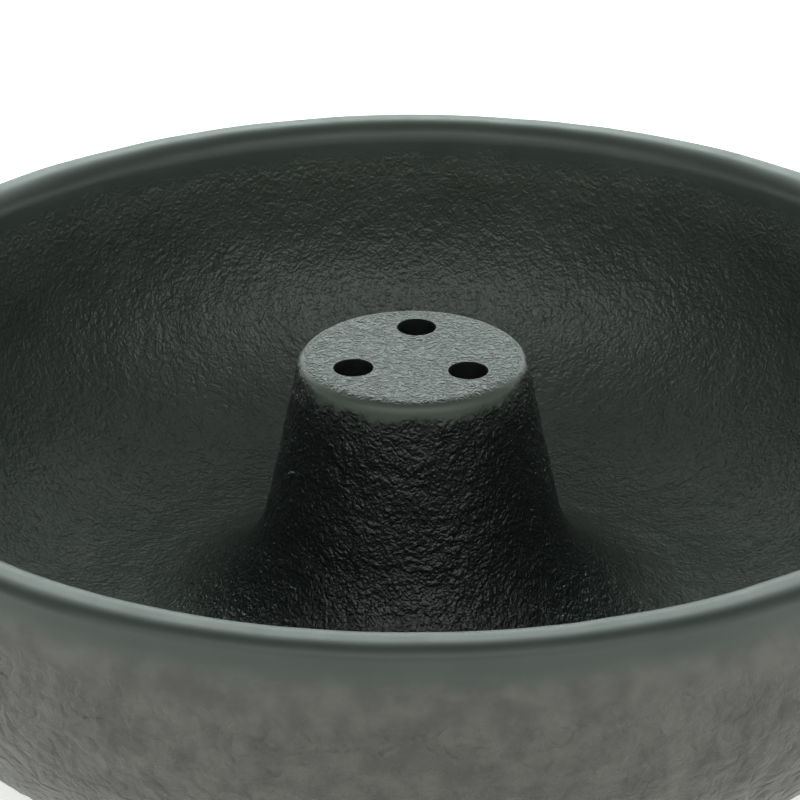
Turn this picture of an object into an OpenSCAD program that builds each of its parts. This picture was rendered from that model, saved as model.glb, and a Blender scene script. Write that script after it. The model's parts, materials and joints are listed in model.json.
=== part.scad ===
// Cast-iron incense bowl: a round bowl with a central boss, drilled to hold stick incense
// upright, that catches the ash in the channel round the boss. It rests on stuck-on rubber feet.
// Millimetres, +Z up. The origin is on the table, on the bowl's axis.

/* [Bowl] */
// Outer diameter across the rim
rim_d = 100; // [90:1:130]
// Thickness of the casting, which the rim rounds over
wall = 3.8; // [3:0.1:5]
// Depth from the rim's crest to the bottom of the ash channel
bowl_depth = 26.2; // [22:0.2:34]
// Width of the flat at the bottom of the ash channel
channel_flat = 1.6; // [0.5:0.1:4]

/* [Boss] */
// Distance of the boss's flat top below the rim's crest
boss_drop = 2; // [0:0.5:6]
// Diameter at which the boss's flank meets the plane of its top
boss_top_d = 18.4; // [17:0.2:26]
// Draft of the flank, in degrees from upright
boss_draft = 12; // [6:1:16]
// Rounding of the boss's top edge
boss_edge_r = 1.1; // [0.6:0.1:1.6]
// Radius of the sweep from the flank into the channel
boss_foot_r = 13.6; // [8:0.2:15]

/* [Stick holes] */
// Number of incense sticks that the boss holds
stick_holes = 3; // [1:1:4]
// Diameter of each hole
stick_hole_d = 3.2; // [2:0.1:4]
// Depth of the deepest hole
stick_hole_depth = 9; // [6:0.5:10]
// How much shallower each hole is than the one before it
stick_hole_step = 0.3; // [0:0.1:1]
// Diameter of the circle through the holes' centres
stick_pcd = 10.7; // [9:0.1:11.5]
// Turn of the hole pattern from the back of the bowl, in degrees
stick_turn = -3.7; // [-60:0.1:60]
// Iron left under the holes
hole_floor = 2.2; // [1.5:0.1:4]

/* [Foot ring] */
// Outer diameter of the ring that the bowl is cast with
ring_d = 62; // [58:1:70]
// Width of the ring's flat face
ring_w = 9; // [8.5:0.5:12]
// Height of the ring under the bowl
ring_h = 3; // [2:0.5:6]

/* [Rubber feet] */
// Number of feet stuck round the ring
foot_count = 3; // [3:1:6]
// Diameter of each foot
foot_d = 7.4; // [5:0.1:8.4]
// Thickness of each foot
foot_t = 1.5; // [1.2:0.1:3]
// Chamfer round a foot's underside
foot_chamfer = 0.4; // [0.2:0.1:1]

/* [Hidden] */
$fn = 96;
// How far a cut runs past the face that it opens
over = 1;
// How far an arc's disc reaches past the faces that it blends, so that they cross cleanly
bite = 0.002;

// Radii, from the axis
rim_r = rim_d / 2;
lip_r = wall / 2;
boss_r = boss_top_d / 2;
flank_across = [cos(boss_draft), sin(boss_draft)];
ring_r = ring_d / 2;
ring_in_r = ring_r - ring_w;
foot_pitch_r = ring_r - ring_w / 2;

// Heights, from the table up
ring_z = foot_t;
under_z = ring_z + ring_h;
floor_z = under_z + wall;
rim_z = floor_z + bowl_depth;
boss_z = rim_z - boss_drop;
cap_z = boss_z - stick_hole_depth - hole_floor;

// The flank's line runs through [boss_r, boss_z] and leaves the sweep where its normal is flank_across
sweep_z = floor_z + boss_foot_r;
sweep_r = boss_r + (boss_z - sweep_z) * tan(boss_draft) + boss_foot_r / cos(boss_draft);
edge_z = boss_z - boss_edge_r;
edge_r = boss_r - boss_edge_r * (1 - sin(boss_draft)) / cos(boss_draft);

// The wall curves into the channel over the room that the boss and the flat leave
curve_r = min(rim_r - wall - sweep_r - channel_flat, bowl_depth - wall);
curve_mid_r = rim_r - wall - curve_r;
curve_z = floor_z + curve_r;

// Centres of the section's arcs
lip = [rim_r - lip_r, rim_z - lip_r];
curve = [curve_mid_r, curve_z];
sweep = [sweep_r, sweep_z];
edge = [edge_r, edge_z];

// Height of the casting's underside at a radius
function under_at(r) = curve_z - sqrt((curve_r + wall) ^ 2 - max(r - curve_mid_r, 0) ^ 2);

// A box in the section plane, from its lowest to its highest corner
module span(low, high) {
    translate(low) square(high - low);
}

// A disc in the section plane, for an arc that blends into straight faces
module disc(centre, r) {
    translate(centre) circle(r = r + bite);
}

// Everything inside the casting's outer face
module outer_section() {
    span([0, under_z], [curve_mid_r, rim_z]);
    span([0, curve_z], [rim_r, rim_z - lip_r]);
    intersection() {
        disc(curve, curve_r + wall);
        span([0, under_z], [rim_r, rim_z - lip_r]);
    }
    intersection() {
        disc(lip, lip_r);
        span([0, under_z], [rim_r, rim_z]);
    }
    span([ring_in_r, ring_z], [ring_r, under_at(ring_r) + wall / 2]);
}

// The channel between the boss's sweep and the wall, open at the top
module channel_section() {
    span([sweep_r, floor_z], [curve_mid_r, rim_z + over]);
    span([sweep_r, curve_z], [rim_r - wall, rim_z + over]);
    intersection() {
        disc(curve, curve_r);
        span([sweep_r, floor_z], [rim_r - wall, rim_z]);
    }
    difference() {
        span([sweep_r, rim_z - lip_r], [rim_r - lip_r, rim_z + over]);
        disc(lip, lip_r);
    }
}

// The space over the boss, its flank and its sweep
module boss_section() {
    intersection() {
        disc(sweep, boss_foot_r);
        span([0, floor_z], [curve_mid_r, rim_z]);
    }
    difference() {
        polygon([
            sweep,
            sweep - boss_foot_r * flank_across,
            edge + boss_edge_r * flank_across,
            edge,
            [edge_r, rim_z + over],
            [curve_mid_r, rim_z + over],
            [curve_mid_r, sweep_z]
        ]);
        disc(edge, boss_edge_r);
    }
    span([0, boss_z], [curve_mid_r, rim_z + over]);
}

// The hollow under the boss, one wall's thickness inside its flank and its sweep
module hollow_section() {
    top = edge + (boss_edge_r - wall) * flank_across;
    difference() {
        span([0, ring_z - over], [ring_in_r, cap_z]);
        disc(sweep, boss_foot_r + wall);
        polygon([sweep, sweep - (boss_foot_r + wall) * flank_across, top, [sweep_r, top[1]]]);
        span([sweep_r, under_z], [rim_r, rim_z]);
    }
}

// Blind holes for the sticks, square at the bottom
module stick_bores() {
    for (i = [0 : stick_holes - 1]) let (depth = stick_hole_depth - i * stick_hole_step)
        rotate([0, 0, 90 + stick_turn + i * 360 / stick_holes])
            translate([stick_pcd / 2, 0, boss_z - depth])
                cylinder(d = stick_hole_d, h = depth + over);
}

module bowl() {
    color("#39403d") difference() {
        rotate_extrude() difference() {
            outer_section();
            channel_section();
            boss_section();
            hollow_section();
        }
        stick_bores();
    }
}

// One rubber foot, stuck to the flat face of the foot ring
module rubber_foot(i) {
    color("#1f1f1f")
        rotate([0, 0, 90 + (i - 1) * 360 / foot_count])
            translate([foot_pitch_r, 0, 0]) {
                cylinder(d1 = foot_d - 2 * foot_chamfer, d2 = foot_d, h = foot_chamfer);
                translate([0, 0, foot_chamfer]) cylinder(d = foot_d, h = foot_t - foot_chamfer);
            }
}

bowl();
for (i = [1 : foot_count])
    rubber_foot(i);
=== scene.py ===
# %% [markdown]
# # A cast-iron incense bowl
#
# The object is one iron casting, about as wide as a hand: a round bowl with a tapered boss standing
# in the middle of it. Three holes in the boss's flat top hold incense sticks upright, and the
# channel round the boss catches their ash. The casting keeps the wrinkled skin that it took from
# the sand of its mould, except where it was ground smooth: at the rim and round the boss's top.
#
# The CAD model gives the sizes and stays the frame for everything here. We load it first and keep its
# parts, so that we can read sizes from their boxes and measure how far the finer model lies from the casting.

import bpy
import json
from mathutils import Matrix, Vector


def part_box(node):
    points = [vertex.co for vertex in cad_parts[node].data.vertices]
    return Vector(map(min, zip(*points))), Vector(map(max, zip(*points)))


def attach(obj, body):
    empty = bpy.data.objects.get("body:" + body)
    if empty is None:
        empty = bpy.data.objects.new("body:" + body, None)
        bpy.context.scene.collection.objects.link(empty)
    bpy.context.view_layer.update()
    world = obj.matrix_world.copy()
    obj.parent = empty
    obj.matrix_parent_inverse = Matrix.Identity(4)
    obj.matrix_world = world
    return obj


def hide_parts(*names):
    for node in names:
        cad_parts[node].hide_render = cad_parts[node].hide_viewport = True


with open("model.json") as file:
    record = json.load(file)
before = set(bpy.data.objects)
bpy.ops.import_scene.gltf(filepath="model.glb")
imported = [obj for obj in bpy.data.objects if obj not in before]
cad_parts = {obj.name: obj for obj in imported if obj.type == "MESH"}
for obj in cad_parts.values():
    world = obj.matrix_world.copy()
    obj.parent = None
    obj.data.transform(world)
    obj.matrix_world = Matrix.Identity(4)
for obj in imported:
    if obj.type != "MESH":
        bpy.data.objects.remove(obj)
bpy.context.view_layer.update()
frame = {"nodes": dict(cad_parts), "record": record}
print("CAD nodes:", sorted(frame["nodes"]))

# %% Tools
import json
from math import acos, cos, pi, radians, sin, tan

import bmesh
import bpy
import numpy as np
from mathutils import Vector
from mathutils.bvhtree import BVHTree

MM = 0.001

# %% [markdown]
# ## The sizes
#
# A bowl like this is turned from one outline, so a handful of radii and heights say everything
# about it. The outer sizes, the feet and the holes are read from the CAD nodes and from the
# record's mounts. The wall's thickness, the boss's draft and the sweep at its foot can't be read
# from a box, so they are written here with the values that the design has. The rim's top is worn a
# little flat, with a fuller rounding inside than outside. Working in millimetres keeps the numbers
# readable, and one factor turns them into metres when a mesh is made.

# %% Read the outer sizes from the CAD boxes and the holes from the mounts
bowl_low, bowl_high = [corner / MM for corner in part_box("bowl")]
rim_r = bowl_high.x
rim_z = bowl_high.z
ring_z = bowl_low.z
feet = [name for name in sorted(frame["nodes"]) if name.startswith("rubber_foot_")]
stick_holes = [m for m in frame["record"]["mounts"] if m["kind"] == "bore"]
print(f"rim {2 * rim_r:.1f} mm across and {rim_z:.1f} mm high, {len(feet)} feet")

# %% Sizes that the boxes don't show, in millimetres
wall = 3.8
bowl_depth = 26.2
boss_drop = 2.0
boss_r = 9.2
boss_draft = radians(12)
edge_round = 1.1
sweep_round = 13.6
channel_flat = 1.6
lip_in = 1.8
lip_out = 1.2
ring_outer_r = 31.0
ring_inner_r = 22.0
cap_under_boss = 11.2

floor_z = rim_z - bowl_depth
boss_z = rim_z - boss_drop
cap_z = boss_z - cap_under_boss

# %% Centres of the arcs that the outline is made of
flank_out = np.array([cos(boss_draft), sin(boss_draft)])
sweep_z = floor_z + sweep_round
sweep = np.array([boss_r + (boss_z - sweep_z) * tan(boss_draft) + sweep_round / cos(boss_draft), sweep_z])
edge = np.array([boss_r - edge_round * (1 - sin(boss_draft)) / cos(boss_draft), boss_z - edge_round])
curve_round = rim_r - wall - sweep[0] - channel_flat
curve = np.array([sweep[0] + channel_flat, floor_z + curve_round])
print(f"boss top {2 * edge[0]:.1f} mm flat, channel floor at {floor_z:.1f} mm")
print(f"the wall curves up with a radius of {curve_round:.1f} mm")

# %% [markdown]
# ## The outline
#
# The real pattern for such a casting is turned on a lathe, from a half outline. We do the same: a
# half outline in the plane of radius and height, which is carried round the axis. It could be a
# Bezier curve with the Screw modifier, but arcs with known centres keep the true shape and let us
# choose how closely each stretch is sampled. The boss is seen from close by and has the finest
# grain, so it gets a ring of vertices every fifth of a millimetre. The plain outside gets one every
# two millimetres.

# %% Stretches of the outline
def arc(centre, radius, start, stop, step):
    """Points on a circle round centre, from start to stop degrees, about step mm apart, without the
    last one: centre + radius (cos a, sin a)."""
    count = max(2, round(abs(radians(stop - start)) * radius / step))
    angles = np.radians(np.linspace(start, stop, count, endpoint=False))
    return np.array(centre) + radius * np.stack([np.cos(angles), np.sin(angles)], 1)


def line(start, stop, step):
    """Points on the straight from start to stop, about step mm apart, without the last one:
    start + t (stop - start)."""
    start, stop = np.array(start, float), np.array(stop, float)
    count = max(1, round(np.linalg.norm(stop - start) / step))
    return start + np.linspace(0, 1, count, endpoint=False)[:, None] * (stop - start)


def rounded(before, corner, after, radius, count=4):
    """Points of the arc that rounds a corner: it touches both sides, and its centre lies on the
    bisector, radius / sin(half the corner's angle) away from the corner."""
    before, corner, after = (np.array(p, float) for p in (before, corner, after))
    a = (before - corner) / np.linalg.norm(before - corner)
    b = (after - corner) / np.linalg.norm(after - corner)
    half = acos(np.clip(a @ b, -1, 1)) / 2
    centre = corner + (a + b) / np.linalg.norm(a + b) * radius / sin(half)
    start, stop = corner + a * radius / tan(half), corner + b * radius / tan(half)
    t = np.linspace(0, 1, count)[:, None]
    chord = start + t * (stop - start) - centre
    return centre + radius * chord / np.linalg.norm(chord, axis=1)[:, None]


# %% The half outline, from the edge of the boss's top, over the rim and under the bowl to the axis
draft = np.degrees(boss_draft)
flank_top = edge + edge_round * flank_out
flank_foot = sweep - sweep_round * flank_out
ring_join = curve[1] - np.sqrt((curve_round + wall) ** 2 - (ring_outer_r - curve[0]) ** 2)
join_turn = -np.degrees(acos((ring_outer_r - curve[0]) / (curve_round + wall)))
inner_join = sweep[1] - np.sqrt((sweep_round + wall) ** 2 - (sweep[0] - ring_inner_r) ** 2)
inner_turn = 360 - np.degrees(acos((ring_inner_r - sweep[0]) / (sweep_round + wall)))
hollow_foot = sweep - (sweep_round + wall) * flank_out
hollow_top = hollow_foot + (cap_z - hollow_foot[1]) * np.array([-tan(boss_draft), 1])

outline = np.concatenate([
    arc(edge, edge_round, 90, draft, 0.19),
    line(flank_top, flank_foot, 0.22),
    arc(sweep, sweep_round, 180 + draft, 270, 0.36),
    line([sweep[0], floor_z], [curve[0], floor_z], 0.8),
    arc(curve, curve_round, 270, 360, 0.9),
    line([rim_r - wall, curve[1]], [rim_r - wall, rim_z - lip_in], 0.8),
    arc([rim_r - wall + lip_in, rim_z - lip_in], lip_in, 180, 90, 0.3),
    line([rim_r - wall + lip_in, rim_z], [rim_r - lip_out, rim_z], 0.3),
    arc([rim_r - lip_out, rim_z - lip_out], lip_out, 90, 0, 0.3),
    line([rim_r, rim_z - lip_out], [rim_r, curve[1]], 0.8),
    arc(curve, curve_round + wall, 0, join_turn + 3, 1.7),
    rounded([ring_outer_r + 3, ring_join + 0.7], [ring_outer_r, ring_join], [ring_outer_r, ring_z], 0.8),
    rounded([ring_outer_r, ring_join], [ring_outer_r, ring_z], [ring_inner_r, ring_z], 0.6),
    rounded([ring_outer_r, ring_z], [ring_inner_r, ring_z], [ring_inner_r, inner_join], 0.6),
    rounded([ring_inner_r, ring_z], [ring_inner_r, inner_join], [ring_inner_r - 3, inner_join + 0.6], 0.8),
    arc(sweep, sweep_round + wall, inner_turn - 6, 180 + draft, 2.4),
    line(hollow_foot, hollow_foot + 0.5 * (hollow_top - hollow_foot), 1.5),
    rounded(hollow_foot, hollow_top, [0, cap_z], 1.2),
    line(hollow_top * [0.6, 1], [0.8, cap_z], 1.5),
])
print(len(outline), "points on the half outline")

# %% [markdown]
# ## The grain of the cast skin
#
# Sand leaves a skin of small rounded lumps with sharp creases between them, like leather. Noise
# that is folded at zero gives just that: where smooth noise changes sign, its absolute value has a
# crease. Blender's Displace modifier has such a texture, but it can't follow our own mask of where
# the iron was ground. Gradient noise is only a page of numpy, and it works on all vertices at once.

# %% Gradient noise on whole arrays
def corner_slopes(cells, seed):
    """A direction for each lattice cell, from a hash of its three whole numbers and the seed."""
    h = (cells[:, 0] * 73856093) ^ (cells[:, 1] * 19349663) ^ (cells[:, 2] * 83492791) ^ (seed * 2654435761)
    parts = []
    for _ in range(3):
        h = (h ^ (h >> 13)) * 1274126177 & 0xFFFFFFFF
        h = h ^ (h >> 16)
        parts.append((h & 0xFFFF) / 32768.0 - 1.0)
    return np.stack(parts, 1)


def noise(points, pitch, seed):
    """Gradient noise, about -1 to 1: each lattice corner has a slope, and each point blends the planes
    of the eight corners round it with the quintic 6t^5 - 15t^4 + 10t^3, so that slopes stay continuous."""
    scaled = points / pitch
    cell = np.floor(scaled).astype(np.int64)
    inside = scaled - cell
    ease = inside**3 * (inside * (inside * 6 - 15) + 10)
    total = np.zeros(len(points))
    for corner in np.ndindex(2, 2, 2):
        share = np.prod(np.where(corner, ease, 1 - ease), axis=1)
        total += share * np.sum(corner_slopes(cell + corner, seed) * (inside - corner), axis=1)
    return 1.6 * total


def creased(points, pitch, seed):
    """Noise folded at zero and eased, from 0 in a crease to about 1 on a lump: sqrt(n^2 + e^2) - e."""
    soft = 0.06
    folded = np.sqrt(noise(points, pitch, seed) ** 2 + soft**2) - soft
    return np.minimum(folded * 2.2, 1.2)


def eased(x, low, high):
    """0 below low, 1 above high, and 3t^2 - 2t^3 between."""
    t = np.clip((x - low) / (high - low), 0, 1)
    return t * t * (3 - 2 * t)


# %% [markdown]
# ## The casting
#
# The skin is one closed grid. Turning the outline gives every ring below the boss's top. The flat
# top itself is a square grid whose squares are bent onto the disc, because a fan of long thin
# triangles that meet at the axis would show in the grain. Its border has as many vertices as a
# ring, so the two share it.

# %% Turn the outline and cap the boss
AROUND = 384
SIDE = AROUND // 4


def turned(path, around):
    """Point (i, j) is path point i turned by j / around of a full turn: (r cos a, r sin a, z)."""
    a = np.linspace(0, 2 * pi, around, endpoint=False)
    r, z = path[:, :1], path[:, 1:]
    return np.stack([r * np.cos(a), r * np.sin(a), np.broadcast_to(z, (len(path), around))], 2)


def disc(radius, z, side):
    """Point (i, j) of a square grid, bent onto a disc: squares about the middle become circles, and the
    place along a square's side becomes the angle."""
    u, v = np.meshgrid(np.linspace(-1, 1, side + 1), np.linspace(-1, 1, side + 1), indexing="ij")
    reach = np.maximum(np.abs(u), np.abs(v))
    upright = np.abs(u) < np.abs(v)
    a = np.where(upright, pi / 2 - pi / 4 * u / np.where(v == 0, 1, v), pi / 4 * v / np.where(u == 0, 1, u))
    sign = np.where(np.where(upright, v, u) < 0, -1, 1) * np.where(reach > 0, 1, 0)
    x, y = radius * reach * sign * np.cos(a), radius * reach * sign * np.sin(a)
    return np.stack([x, y, np.full_like(x, z)], 2)


def cap_border(side):
    """Indices of a square grid's border, anticlockwise from the angle of -135 degrees."""
    index = np.arange((side + 1) ** 2).reshape(side + 1, side + 1)
    return np.concatenate([index[:-1, 0], index[-1, :-1], index[:0:-1, -1], index[0, :0:-1]])


def quads_between(lower, upper):
    """Quads that join two closed rings of vertex indices."""
    return np.stack([lower, np.roll(lower, -1), np.roll(upper, -1), upper], 1)


top = disc(outline[0, 0], boss_z, SIDE)
rings = turned(outline[1:], AROUND)
border = cap_border(SIDE)
start = np.argmin(np.linalg.norm(top.reshape(-1, 3)[border] - [outline[0, 0], 0, boss_z], axis=1))
border = np.roll(border, -start)
tip = np.array([[0, 0, cap_z]])
points = np.concatenate([top.reshape(-1, 3), rings.reshape(-1, 3), tip])
ring_index = len(top.reshape(-1, 3)) + np.arange(len(outline[1:]) * AROUND).reshape(-1, AROUND)
ring_index = np.concatenate([border[None], ring_index])
square = np.arange((SIDE + 1) ** 2).reshape(SIDE + 1, SIDE + 1)
cap_quads = np.stack([square[:-1, :-1], square[1:, :-1], square[1:, 1:], square[:-1, 1:]], 2).reshape(-1, 4)
side_quads = np.concatenate([quads_between(b, a) for a, b in zip(ring_index[:-1], ring_index[1:])])
last = ring_index[-1]
pole = np.stack([last, np.full(AROUND, len(points) - 1), np.roll(last, -1)], 1)
print(len(points), "vertices,", 2 * len(cap_quads) + 2 * len(side_quads) + len(pole), "triangles")

# %% Make the mesh
def mesh_of(name, vertices_mm, faces):
    """A smooth mesh in metres from an array of points and a list of faces."""
    mesh = bpy.data.meshes.new(name)
    mesh.from_pydata((vertices_mm * MM).tolist(), [], faces)
    mesh.shade_smooth()
    mesh.validate()
    obj = bpy.data.objects.new(name, mesh)
    bpy.context.scene.collection.objects.link(obj)
    return obj


faces = cap_quads.tolist() + side_quads.tolist() + pole.tolist()
bowl_skin = mesh_of("bowl_skin", points, faces)

# %% How far the plain skin is from the CAD casting
def bvh_of(obj):
    tree = bmesh.new()
    tree.from_mesh(obj.data)
    found = BVHTree.FromBMesh(tree)
    tree.free()
    return found


cad_surface = bvh_of(frame["nodes"]["bowl"])
gaps = [cad_surface.find_nearest(Vector(p * MM))[3] / MM for p in points[::37]]
print(f"plain skin to CAD: {np.mean(gaps):.3f} mm on average, {np.max(gaps):.2f} mm at most")

# %% [markdown]
# ## Where the skin was ground, and how deep the grain is
#
# The rim is ground three millimetres down inside and about five outside. The boss's edge is ground
# mostly on its front side, where the disc was held against it. The borders are ragged, because
# grinding only takes off what stands proud. The boss's flat top keeps a low grain. We could paint
# such a mask by hand, but a few eased steps of height and noise give the same ragged border and stay
# right if a size changes.
#
# Three numbers for each vertex carry the result: skin says how much grain is left, flat marks the
# boss's top, and outside marks the outer wall. The mesh uses them for the height of its lumps, and
# later the material reads them from the attributes with the same names.

# %% How far down the iron was ground, in millimetres, from bare to full skin
worn_rim_inside = (2.2, 4.2)
worn_rim_outside = (4.2, 7.0)
worn_edge_front = (1.1, 1.8)
worn_edge_back = (0.2, 0.8)
top_edge = (0.03, 0.35)
top_grain_left = 0.45

# %% The skin mask
normals = np.zeros(len(points) * 3, np.float32)
bowl_skin.data.vertices.foreach_get("normal", normals)
normals = normals.reshape(-1, 3)
radius = np.hypot(points[:, 0], points[:, 1])
height = points[:, 2]

ring_number = np.repeat(np.arange(len(outline)), [(SIDE + 1) ** 2] + [AROUND] * (len(outline) - 1))
ring_number = np.append(ring_number, len(outline))
inside = ring_number <= np.argmax(outline[:, 0] * (outline[:, 1] > rim_z - 0.01))
ragged = 0.8 * noise(points, 3.1, 3) + 0.5 * noise(points, 1.2, 4)
below_rim = rim_z - height + ragged
rim_skin = np.where(inside, eased(below_rim, *worn_rim_inside), eased(below_rim, *worn_rim_outside))

on_boss = (radius < boss_r + 1.5) & (height > cap_z + 1)
boss_fall = boss_z - height
boss_ragged = 0.45 * noise(points, 1.6, 5) + 0.3 * noise(points, 0.7, 6)
flat = np.where(on_boss, 1 - eased(boss_fall, *top_edge), 0)
facing = eased(-points[:, 1] / np.maximum(radius, 1), 0.2, 0.7)
front_skin = eased(boss_fall + boss_ragged, *worn_edge_front)
back_skin = eased(boss_fall + 0.4 * boss_ragged, *worn_edge_back)
boss_skin = facing * front_skin + (1 - facing) * back_skin
skin = np.where(on_boss, np.maximum(top_grain_left * flat, boss_skin), rim_skin)
print(f"ground bare: {100 * np.mean(skin < 0.05):.0f} % of the vertices")

# %% [markdown]
# ## The relief
#
# The mesh itself carries three sizes of relief along the normals: broad ripples of the pattern,
# lumps of about three millimetres, and on the boss the coarser part of the grain. The outer wall was
# rammed against coarser sand, so its lumps are twice as high. The finest wrinkles are left to the
# material, because they would need millions of vertices.

# %% Move the vertices and keep the masks
near_boss = eased(-radius, -24, -15)
lumps = creased(points, 2.6, 7)
lumps = np.where(inside, 0.08, 0.16) * (lumps - lumps.mean())
grain = creased(points, 0.95, 8)
grain = 0.05 * (grain - grain.mean()) * near_boss
wave = 0.07 * noise(points, 9.0, 9) + 0.03 * noise(points, 3.3, 10)
relief = skin * (1 - 0.6 * flat) * (lumps + grain) + wave * eased(radius, 12, 20)
moved = points + relief[:, None] * normals
bowl_skin.data.vertices.foreach_set("co", (moved * MM).astype(np.float32).ravel())
for name, values in (("skin", skin), ("flat", flat), ("outside", 1.0 - inside)):
    attribute = bowl_skin.data.attributes.new(name, "FLOAT", "POINT")
    attribute.data.foreach_set("value", values.astype(np.float32))
bowl_skin.data.update()
print(f"relief from {relief.min():.3f} to {relief.max():.3f} mm")

# %% [markdown]
# ## The stick holes
#
# Each hole is drilled after casting, so it cuts clean through the grain. The grid could be bent round
# the holes, but a Boolean with a drill-shaped solid does what the drill did and leaves a crisp edge.
# The cutter is a turned outline too: the bore, and at its mouth a slight flare, where the burr was
# broken. It brings its own material with it, so the walls of the holes are bare iron.

# %% Drill the holes
DRILL_AROUND = 48
CREASE_ANGLE = radians(38)


def drill(mount):
    """A closed cutter for one hole: a flat bottom, the bore, and a hair-wide flare at the mouth,
    turned from five points of radius and height."""
    x, y, z = [value / MM for value in mount["pos_m"]]
    r, length = mount["dims"]["r_mm"], mount["dims"]["length_mm"]
    mouth = z + length / 2
    flare = 0.05
    path = np.array([
        [0.6 * r, mouth - length],
        [r, mouth - length],
        [r, mouth - flare],
        [r + flare, mouth],
        [r + flare + 0.6, mouth + 0.6],
    ])
    wall_points = turned(path, DRILL_AROUND)
    index = np.arange(len(path) * DRILL_AROUND).reshape(-1, DRILL_AROUND)
    quads = np.concatenate([quads_between(a, b) for a, b in zip(index[:-1], index[1:])])
    all_points = wall_points.reshape(-1, 3) + [x, y, 0]
    ends = [index[0][::-1].tolist(), index[-1].tolist()]
    made = mesh_of("drill", all_points, quads.tolist() + ends)
    made.data.materials.append(bore_iron)
    return made


def cut(obj, cutter):
    """Takes the cutter out of the piece, for good, and deletes the cutter."""
    modifier = obj.modifiers.new("cut", "BOOLEAN")
    modifier.operation = "DIFFERENCE"
    modifier.solver = "EXACT"
    modifier.material_mode = "TRANSFER"
    modifier.object = cutter
    made = bpy.data.meshes.new_from_object(obj.evaluated_get(bpy.context.evaluated_depsgraph_get()))
    obj.modifiers.clear()
    obj.data = made
    bpy.data.objects.remove(cutter)


bore_iron = bpy.data.materials.new("drilled_iron")
bowl_skin.data.materials.append(bpy.data.materials.new("to_be_lacquered"))
for hole in stick_holes:
    cut(bowl_skin, drill(hole))
print("materials:", [m.name for m in bowl_skin.data.materials])
bowl_skin.data.shade_smooth()
bowl_skin.data.set_sharp_from_angle(angle=CREASE_ANGLE)
print(len(bowl_skin.data.polygons), "faces after drilling")

# %% Hand the skin over to the frame
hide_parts("bowl")
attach(bowl_skin, "root")

# %% [markdown]
# ## The rubber feet
#
# A stick-on foot is a moulded disc. Its top is flat for the glue, its side is drafted a little, and
# its bottom edge is round so that it doesn't peel. The bottom dips in the middle, where the rubber
# shrank as it cooled. A bevelled cylinder would be close, but it has no draft and no dip, so the
# same turned outline that made the bowl makes the feet.

# %% Mould the feet
FOOT_AROUND = 64


def foot_outline(r, thick):
    """From the middle of the glued face, over its edge, down the drafted side and in to the dished
    bottom: straight lines, with arcs that touch them at the two corners."""
    corner, glued_corner, dish, draft = 0.45, 0.12, 0.12, 0.12
    bottom_r = r - draft
    return np.concatenate([
        [[0, thick], [0.5 * r, thick]],
        rounded([0, thick], [r, thick], [bottom_r, 0], glued_corner, 3),
        rounded([r, thick], [bottom_r, 0], [0, 0], corner, 6),
        [[0.72 * r, 0.0], [0.5 * r, 0.6 * dish], [0.25 * r, 0.9 * dish], [0, dish]],
    ])


def foot(node):
    """One foot, where the CAD has it."""
    low, high = [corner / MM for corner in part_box(node)]
    path = foot_outline((high.x - low.x) / 2, high.z - low.z)
    grid = turned(path[1:-1], FOOT_AROUND)
    index = np.arange(len(grid) * FOOT_AROUND).reshape(-1, FOOT_AROUND)
    quads = np.concatenate([quads_between(b, a) for a, b in zip(index[:-1], index[1:])])
    ends = [index[0].tolist(), index[-1][::-1].tolist()]
    centre = [(low.x + high.x) / 2, (low.y + high.y) / 2, low.z]
    obj = mesh_of(node + "_rubber", grid.reshape(-1, 3) + centre, quads.tolist() + ends)
    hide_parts(node)
    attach(obj, "root")
    return obj


rubber_feet = [foot(node) for node in feet]
print([obj.name for obj in rubber_feet])

# %% [markdown]
# ## Wiring materials in Python
#
# A material is a graph of nodes. Each node takes three or four lines to make and link, so a rich
# material would be pages of them. One small class holds a socket instead, and its operators add the
# Math nodes, so that the graph reads like the sum that it is. Colours go through Mix, because a Math
# node would turn them grey.

# %% The socket class
class Wire:
    """A socket. Operators add Math nodes, and node() adds any other node."""

    def __init__(self, tree, socket=None):
        self.tree = tree
        self.socket = socket

    def node(self, kind, settings=None, inputs=None, out=0):
        """A new node: its type, its settings, which are set first, and the values or wires of its sockets."""
        made = self.tree.nodes.new("ShaderNode" + kind)
        for name, value in (settings or {}).items():
            setattr(made, name, value)
        for key, value in (inputs or {}).items():
            if isinstance(value, Wire):
                self.tree.links.new(value.socket, made.inputs[key])
            else:
                made.inputs[key].default_value = value
        return Wire(self.tree, made.outputs[out])

    def maths(self, operation, *values):
        return self.node("Math", {"operation": operation}, dict(enumerate(values)))

    def __add__(self, other):
        return self.maths("ADD", self, other)

    def __sub__(self, other):
        return self.maths("SUBTRACT", self, other)

    def __rsub__(self, other):
        return self.maths("SUBTRACT", other, self)

    def __mul__(self, other):
        return self.maths("MULTIPLY", self, other)

    __radd__ = __add__
    __rmul__ = __mul__

    def between(self, low, high):
        """0 below low, 1 above high, with an eased slope between."""
        settings = {"interpolation_type": "SMOOTHSTEP"}
        return self.node("MapRange", settings, {"Value": self, "From Min": low, "From Max": high})

    def mix(self, first, second):
        """The first colour where this wire is 0 and the second where it is 1."""
        settings = {"data_type": "RGBA"}
        return self.node("Mix", settings, {0: self, 6: first, 7: second}, out=2)


def new_material(name):
    """A material with a Principled shader, a Wire to start from, and the place on the piece in mm."""
    material = bpy.data.materials.new(name)
    material.use_nodes = True
    shader = material.node_tree.nodes["Principled BSDF"]
    start = Wire(material.node_tree)
    scale = {"Vector": start.node("TexCoord", out=3), "Scale": 1 / MM}
    return material, shader, start, start.node("VectorMath", {"operation": "SCALE"}, scale)


def plug(wire, shader, socket):
    """Links a wire to one of the shader's sockets."""
    wire.tree.links.new(wire.socket, shader.inputs[socket])
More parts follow.
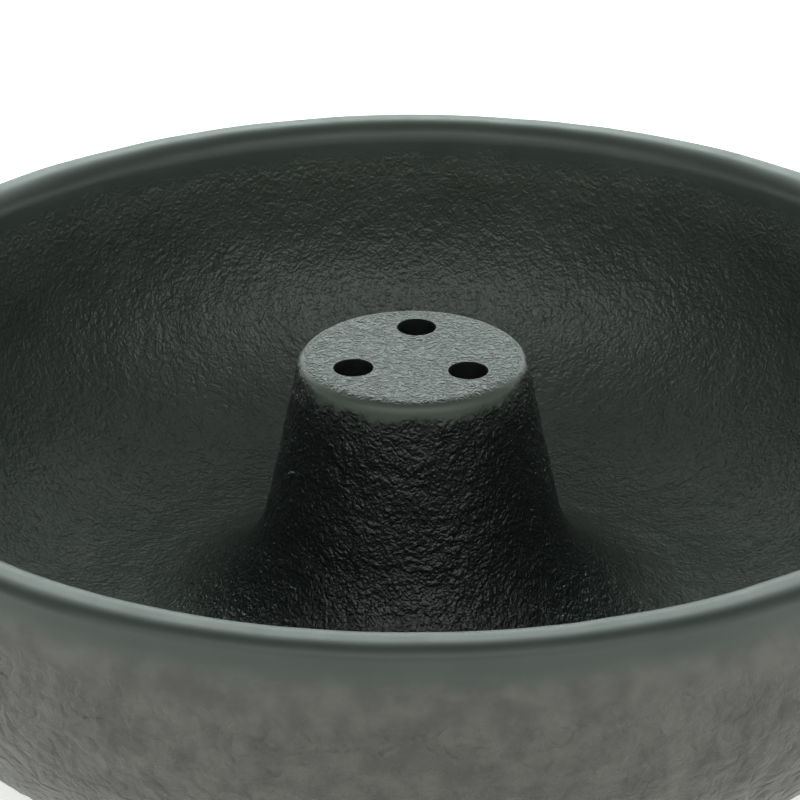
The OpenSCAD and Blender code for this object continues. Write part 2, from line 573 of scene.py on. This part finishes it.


# %% [markdown]
# ## The lacquered iron
#
# Incense ware of cast iron is lacquered a very dark grey-green, in a thin satin coat that follows
# every wrinkle. Most of what we see of it is gloss, so the shader is a plain dielectric over a
# nearly black colour. The metal never shows, so Metallic stays at 0.
#
# The colour isn't the same all over. The boss's flank and the sweep at its foot are painted nearly
# black, a painted shade for the shade that they lie in deep in the bowl, and the boss's top is made
# nearly as dark. The ground iron is green, painted lighter at the boss's edge as a painted sheen for
# the light that its bevel catches, and darker at the rim. Outside, below the rim's ground band, the
# colour is a lighter, warmer grey. All of this depends on where a point lies, so the masks come from
# the vertex attributes, from the distance to the axis and from the height.

# %% Places and masks on the casting
iron, iron_shader, w, in_mm = new_material("lacquered_iron")
skin_wire, flat_wire, outside_wire = (
    w.node("Attribute", {"attribute_name": name}, out=2) for name in ("skin", "flat", "outside")
)
from_axis = w.node("VectorMath", {"operation": "MULTIPLY"}, {0: in_mm, 1: (1, 1, 0)})
reach = w.node("VectorMath", {"operation": "LENGTH"}, {0: from_axis}, out=1)
height_wire = w.node("SeparateXYZ", None, {0: in_mm}, out=2)


def speckle(pitch, detail=2.0, rough=0.55, warp=0.0):
    """Noise of a given pitch in millimetres, from 0 to 1, in the material that w and in_mm are from."""
    values = {"Vector": in_mm, "Scale": 1 / pitch, "Detail": detail, "Roughness": rough, "Distortion": warp}
    return w.node("TexNoise", inputs=values)


def folded(pitch, warp=0.3):
    """The same noise folded at its middle, so that it has sharp creases."""
    return w.maths("ABSOLUTE", speckle(pitch, 1.0, 0.5, warp) - 0.5) * 4.0


# %% [markdown]
# ## The wrinkles
#
# Each kind of skin is a sum of folded noises. Its mean is taken off before it meets a mask, because
# the bump would otherwise draw a step along the mask's border, like the edge of a sticker. A Voronoi
# texture also gives lumps, but its cells are too regular for sand.

# %% Fine grain as bump
rough_skin = folded(0.7) + 0.5 * folded(0.38, 0.2) - 0.55
fine_crease = folded(0.75, 0.8)
fine_skin = fine_crease + 0.45 * folded(0.4, 0.5) - 0.53
broad_skin = folded(1.9) - 0.37
dust_grain = 0.04 * speckle(0.2)
grain_depth = 0.09 * MM

on_wall = (reach + 3.0 * speckle(4.0)).between(15.0, 26.0)
wall_skin = rough_skin * (1 - 0.3 * on_wall) + on_wall * 0.7 * broad_skin + outside_wire * 2.6 * broad_skin
bump_height = (1 - flat_wire) * wall_skin + flat_wire * 2.4 * fine_skin
bump_height = bump_height * skin_wire + dust_grain
bump = w.node("Bump", inputs={"Strength": 1.0, "Distance": grain_depth, "Height": bump_height})
plug(bump, iron_shader, "Normal")

# %% Colour of the lacquer, each from its darker to its lighter cloud
cloud = speckle(6.0, 3.0).between(0.3, 0.7)
blotch = speckle(2.4, 3.0).between(0.3, 0.7)
# painted shade: nearly black, for the shade on the boss's flank and on the sweep at its foot
painted_shade_black = (0.003, 0.005, 0.004, 1)
# painted sheen: the ground iron at the boss's edge is painted lighter than at the rim, for the light that its
# bevel catches
painted_sheen_green = (0.052, 0.068, 0.055, 1)
rim_green = cloud.mix((0.024, 0.034, 0.029, 1), (0.030, 0.040, 0.034, 1))
inside_grey = cloud.mix((0.036, 0.044, 0.037, 1), (0.046, 0.052, 0.045, 1))
outside_grey = blotch.mix((0.039, 0.037, 0.034, 1), (0.070, 0.067, 0.060, 1))

# ground iron: the painted sheen near the boss, fading to the rim's darker green
ground_green_and_sheen = reach.between(12.0, 20.0).mix(painted_sheen_green, rim_green)
# outside, below the rim's ground band: a lighter, warmer grey
outside_below_rim = outside_wire * (rim_z - height_wire + 1.5 * speckle(4.0)).between(2.2, 4.4)
lacquer = outside_below_rim.mix(skin_wire.mix(ground_green_and_sheen, inside_grey), outside_grey)
# painted shade mask: full on the flank and the sweep round the boss's foot, 0.7 on the boss's top
thick = w.maths("MAXIMUM", skin_wire * (1 - on_wall) * (1 - flat_wire), 0.7 * flat_wire)
plug(thick.mix(lacquer, painted_shade_black), iron_shader, "Base Color")

# %% Gloss: satin, duller in the creases of the boss's top, where ash is rubbed in
in_crease = flat_wire * (1 - fine_crease.between(0.0, 0.22))
plug(0.40 + 0.12 * speckle(2.0) - 0.05 * skin_wire + 0.20 * in_crease, iron_shader, "Roughness")
iron_shader.inputs["IOR"].default_value = 1.5
bowl_skin.data.materials[0] = iron
print("the lacquer has", len(iron.node_tree.nodes), "nodes")

# %% [markdown]
# ## The drilled iron and the rubber
#
# No lacquer reaches the bottom of a drilled hole: its wall is dull iron, painted near black as painted shade
# for the depth of the hole.
# The rubber is black with a grey bloom, matt, and smooth where the mould was smooth. Both could be
# one flat colour, but then they would look like plastic, so a cloud of noise varies colour and
# roughness together.

# %% Bare iron inside the holes, painted near black as their shade
bare, bare_shader, w, in_mm = new_material("drilled_iron")
hole_cloud = speckle(0.5, 3.0, 0.5)
# painted shade: the hole walls are painted near black for the shade deep in the holes
painted_hole_shade = hole_cloud.between(0.3, 0.7).mix((0.002, 0.003, 0.003, 1), (0.006, 0.007, 0.006, 1))
plug(painted_hole_shade, bare_shader, "Base Color")
plug(0.7 + 0.2 * hole_cloud, bare_shader, "Roughness")
bare_shader.inputs["IOR"].default_value = 1.3
bowl_skin.data.materials[list(bowl_skin.data.materials).index(bore_iron)] = bare
print("materials of the casting:", [m.name for m in bowl_skin.data.materials])

# %% Rubber
rubber, rubber_shader, w, in_mm = new_material("black_rubber")
bloom = speckle(1 / 1.2, 3.0, 0.5)
rubber_black = bloom.between(0.3, 0.8).mix((0.014, 0.014, 0.014, 1), (0.03, 0.03, 0.03, 1))
plug(rubber_black, rubber_shader, "Base Color")
plug(0.62 + 0.2 * bloom, rubber_shader, "Roughness")
for obj in rubber_feet:
    obj.data.materials.append(rubber)

# %% [markdown]
# ## The floor
#
# The bowl stands on white paper that runs back without a horizon. The paper glows a little, which is
# the simplest way to keep it white up to its far edge: a brighter lamp would do it too, but it would
# also bleach the iron.

# %% White paper
def paper(name, colour, rough, glow):
    """A plain matt material that also gives off a little light."""
    material, shader, _, _ = new_material(name)
    shader.inputs["Base Color"].default_value = (*colour, 1)
    shader.inputs["Roughness"].default_value = rough
    shader.inputs["Emission Color"].default_value = (*colour, 1)
    shader.inputs["Emission Strength"].default_value = glow
    return material


bpy.ops.mesh.primitive_circle_add(vertices=128, radius=3.0, fill_type="NGON", location=(0, 0, 0))
floor = bpy.context.object
floor.name = "floor"
floor.data.materials.append(paper("white_paper", (0.90, 0.895, 0.88), 0.9, 0.55))

# %% [markdown]
# ## Soft light
#
# Satin black shows its lights more than its colour, so the lamps are chosen by what each face of the
# bowl mirrors. The boss's top and the rim's crest mirror a low strip behind the bowl. The flank and
# the far wall mirror a softbox above the camera. The outer wall mirrors the bright horizon of a
# white room, which is brighter at the sides. An even white room would be easier, but it would turn
# the whole bowl grey.

# %% Softboxes
BOWL = (0, 0, 0)


def softbox(name, place, size, target, radiance, colour):
    """A rectangular light that faces the target. Its power follows from its radiance and its area."""
    light = bpy.data.lights.new(name, "AREA")
    light.shape = "RECTANGLE"
    light.size, light.size_y = size
    light.energy = radiance * pi * size[0] * size[1]
    light.color = colour
    obj = bpy.data.objects.new(name, light)
    bpy.context.scene.collection.objects.link(obj)
    obj.location = place
    obj.rotation_euler = (Vector(place) - Vector(target)).to_track_quat("Z", "Y").to_euler()
    obj.visible_camera = False
    return obj


def from_middle(azimuth, elevation, distance=1.0):
    """A place that far from the bowl: azimuth 0 is in front of it and 180 behind it, in degrees."""
    a, e = radians(azimuth), radians(elevation)
    return Vector((sin(a) * cos(e), -cos(a) * cos(e), sin(e))) * distance


softbox("back_strip", from_middle(180, 26), (2.0, 0.27), BOWL, 7.9, (0.86, 1.0, 0.96))
softbox("back_softbox", from_middle(180, 52), (1.6, 0.50), BOWL, 1.5, (0.88, 1.0, 0.96))
softbox("front_softbox", from_middle(0, 41), (2.0, 0.42), BOWL, 2.9, (0.95, 1.0, 0.95))
softbox("top_softbox", from_middle(0, 82), (1.2, 0.9), BOWL, 0.25, (0.95, 1.0, 0.97))

# %% The room: dark above, with a bright horizon
world = bpy.data.worlds.new("studio")
bpy.context.scene.world = world
world.use_nodes = True
w = Wire(world.node_tree)
direction = w.node("TexCoord", out=0)
up = w.node("SeparateXYZ", None, {0: direction}, out=2)
sideways = w.maths("ABSOLUTE", w.node("SeparateXYZ", None, {0: direction}, out=0))
horizon = (2.1 + 2.7 * sideways) * (1 - up.between(sin(radians(6)), sin(radians(10)))) + 0.05
w.tree.links.new(horizon.socket, world.node_tree.nodes["Background"].inputs["Strength"])
world.node_tree.nodes["Background"].inputs["Color"].default_value = (0.97, 1.0, 0.97, 1)

# %% [markdown]
# ## The camera
#
# We look down at the bowl from close by with a long lens, so that the near rim runs across the lower
# part of the picture and the far rim across the upper part. The target is just under the boss's top.

# %% Camera
camera_distance = 0.250
camera_pitch = radians(26.3)
camera_roll = -0.0043
camera_target = Vector((-1.05 * MM, 0, (rim_z - 6.1) * MM))
lens_mm = 137.5
sensor_mm = 36
camera_data = bpy.data.cameras.new("camera")
camera_data.lens = lens_mm
camera_data.sensor_width = sensor_mm
camera_data.clip_start = 0.01
camera = bpy.data.objects.new("camera", camera_data)
bpy.context.scene.collection.objects.link(camera)
away = Vector((0, -cos(camera_pitch), sin(camera_pitch)))
camera.location = camera_target + camera_distance * away
camera.rotation_euler = away.to_track_quat("Z", "Y").to_euler()
camera.rotation_euler.rotate_axis("Z", camera_roll)
bpy.context.scene.camera = camera
bpy.context.scene.view_settings.view_transform = "Standard"
